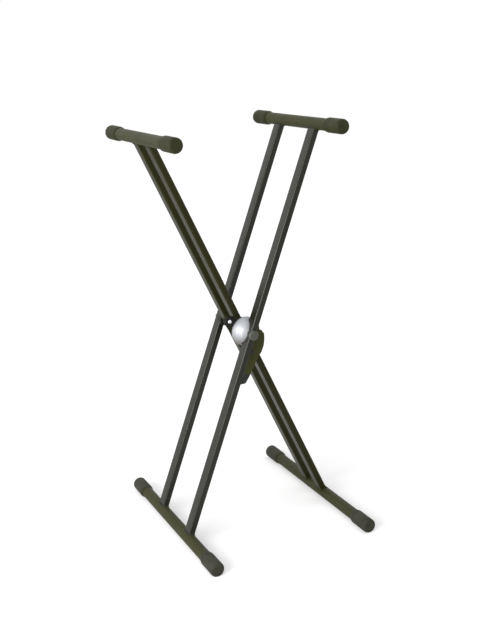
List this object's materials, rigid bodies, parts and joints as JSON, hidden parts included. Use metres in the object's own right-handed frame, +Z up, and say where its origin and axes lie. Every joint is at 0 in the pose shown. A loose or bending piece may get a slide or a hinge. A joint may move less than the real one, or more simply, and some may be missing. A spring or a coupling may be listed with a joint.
{
  "type": "folding keyboard stand",
  "caption": "Height-adjustable folding stand of two crossed tubular frames with double legs, rubber-capped arms and feet, a hinge hub with notched plate and a release lever.",
  "frame": {"origin": "on the floor, midway between the four feet, below the pivot", "axes": "+X across the stand towards the arm of the outer frame, +Y along the arms from the lever side to the back, +Z up"},
  "size_m": [0.431, 0.5378, 0.9818],
  "materials": {
    "leg_paint": "satin black powder coat",
    "tube_paint": "matt dark grey-green powder coat",
    "cap_rubber": "matt moulded rubber",
    "cover_silver": "satin bright plated",
    "bright_steel": "polished",
    "cap_plastic": "smooth dark grey plastic",
    "plate_paint": "black powder coat",
    "lever_plastic": "fine-grained black plastic",
    "grip_rubber": "soft black rubber",
    "bush_plastic": "plain black nylon",
    "black_steel": "blackened steel",
    "zinc_steel": "zinc plated steel"
  },
  "bodies": {
    "outer_frame": {"outer_leg_front": "leg_paint", "outer_leg_rear": "leg_paint", "outer_arm": "tube_paint", "outer_foot": "tube_paint", "outer_arm_cap_front": "cap_rubber", "outer_arm_cap_rear": "cap_rubber", "outer_foot_cap_front": "cap_rubber", "outer_foot_cap_rear": "cap_rubber", "pivot_bolt": "zinc_steel", "pivot_nut": "zinc_steel", "pivot_washer": "zinc_steel", "hub_end_cap": "cap_plastic", "hub_cover": "cover_silver", "leg_spreader_front": "zinc_steel", "leg_spreader_rear": "zinc_steel", "hub_spacer_front": "bush_plastic", "hub_spacer_rear": "bush_plastic", "lever_bracket": "plate_paint", "lever_pin": "black_steel", "lever_pin_nut": "black_steel", "lever_spring": "zinc_steel", "bracket_screw_upper": "black_steel", "bracket_screw_lower": "black_steel"},
    "inner_frame": {"inner_leg_front": "leg_paint", "inner_leg_rear": "leg_paint", "inner_arm": "tube_paint", "inner_foot": "tube_paint", "inner_arm_cap_front": "cap_rubber", "inner_arm_cap_rear": "cap_rubber", "inner_foot_cap_front": "cap_rubber", "inner_foot_cap_rear": "cap_rubber", "index_plate": "plate_paint", "index_boss": "lever_plastic", "index_screw": "bright_steel", "index_nut": "zinc_steel", "leg_bush_front": "bush_plastic", "leg_bush_rear": "bush_plastic", "hub_sleeve": "zinc_steel"},
    "lever": {"release_lever": "lever_plastic", "lever_grip": "grip_rubber", "lever_pawl": "zinc_steel", "pawl_screw_upper": "zinc_steel", "pawl_screw_lower": "zinc_steel"}
  },
  "joints": [
    {"name": "fold", "type": "hinge", "parent": "outer_frame", "child": "inner_frame", "pos_m": [0, 0, 0.49061], "axis": [0, 1, 0], "range_deg": [-54, 40.5]},
    {"name": "lever_squeeze", "type": "hinge", "parent": "outer_frame", "child": "lever", "pos_m": [0.00701, 0, 0.43998], "axis": [0, 1, 0], "range_deg": [-3.5, 6], "stiffness_Nm_per_rad": 4, "springref_deg": -3.5}
  ]
}
